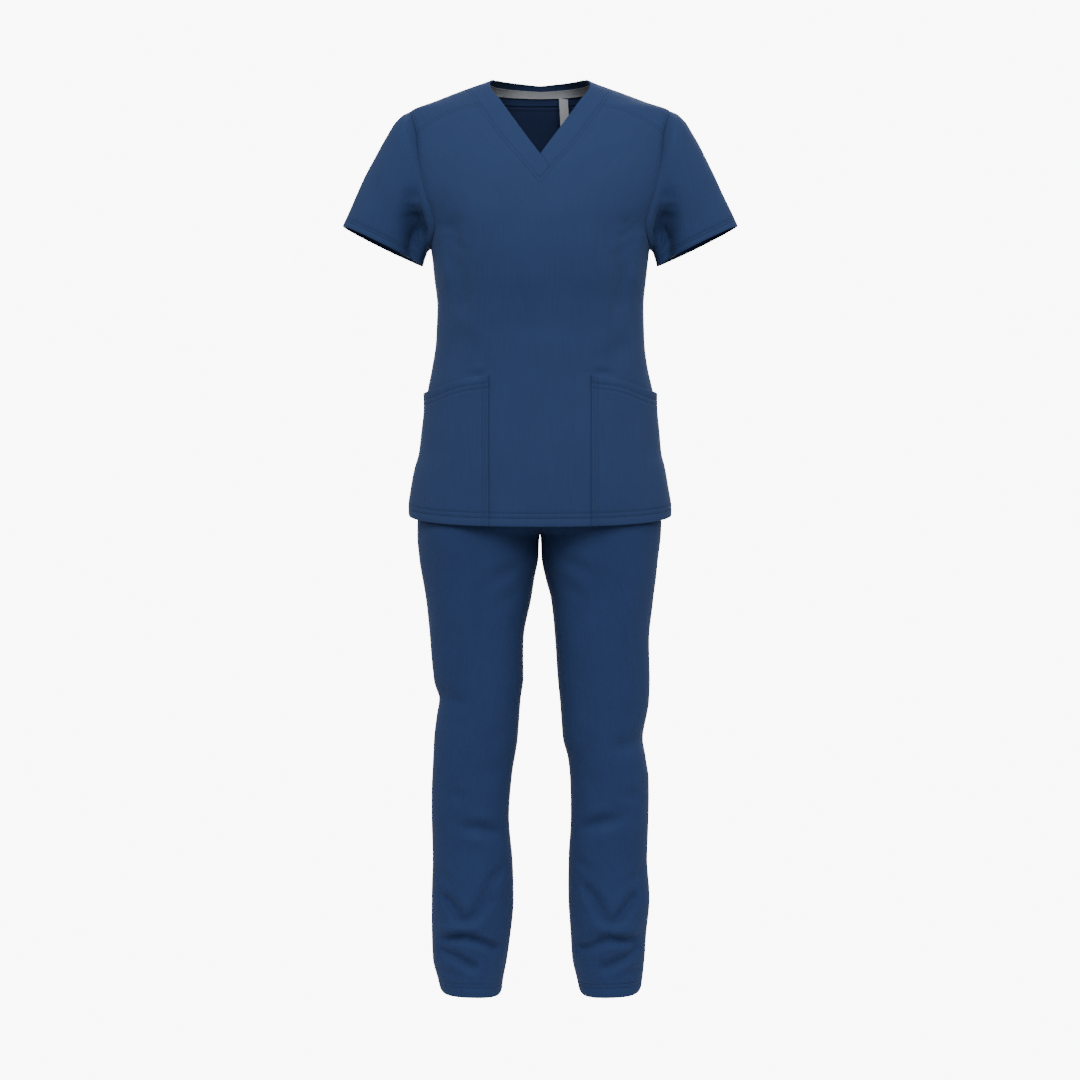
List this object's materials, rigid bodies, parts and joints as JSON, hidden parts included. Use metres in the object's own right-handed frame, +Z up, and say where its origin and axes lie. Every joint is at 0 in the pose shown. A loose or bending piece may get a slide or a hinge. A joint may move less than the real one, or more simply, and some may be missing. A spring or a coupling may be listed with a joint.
{
  "type": "scrub set",
  "caption": "Medical scrub set: a V-neck short-sleeve top with patch pockets and side vents, worn over slim straight trousers, filled out as if worn.",
  "frame": {"origin": "midway between the two high shoulder points, on the shoulder line, where the wearer's shoulders carry the top", "axes": "+Z up, the garment faces -Y, +X is the wearer's left"},
  "size_m": [0.6144, 0.2707, 1.4227],
  "materials": {
    "front_cloth": "matte fine-woven cloth",
    "back_cloth": "matte fine-woven cloth",
    "neckband_cloth": "matte fine-woven cloth",
    "tape_twill": "matte woven twill tape",
    "strip_twill": "matte woven twill tape",
    "sleeve_cloth_left": "matte fine-woven cloth",
    "sleeve_cloth_right": "matte fine-woven cloth",
    "pocket_cloth_left": "matte fine-woven cloth",
    "pocket_cloth_right": "matte fine-woven cloth",
    "leg_front_left_cloth": "matte fine-woven cloth",
    "leg_front_right_cloth": "matte fine-woven cloth",
    "leg_back_left_cloth": "matte fine-woven cloth",
    "leg_back_right_cloth": "matte fine-woven cloth",
    "waistband_cloth": "matte fine-woven cloth"
  },
  "bodies": {
    "root": {"front": "front_cloth", "back": "back_cloth", "neckband": "neckband_cloth", "neck_tape": "tape_twill", "tape_strip": "strip_twill", "sleeve_left": "sleeve_cloth_left", "sleeve_right": "sleeve_cloth_right", "pocket_left": "pocket_cloth_left", "pocket_right": "pocket_cloth_right", "leg_front_left": "leg_front_left_cloth", "leg_front_right": "leg_front_right_cloth", "leg_back_left": "leg_back_left_cloth", "leg_back_right": "leg_back_right_cloth", "waistband": "waistband_cloth"}
  },
  "joints": []
}
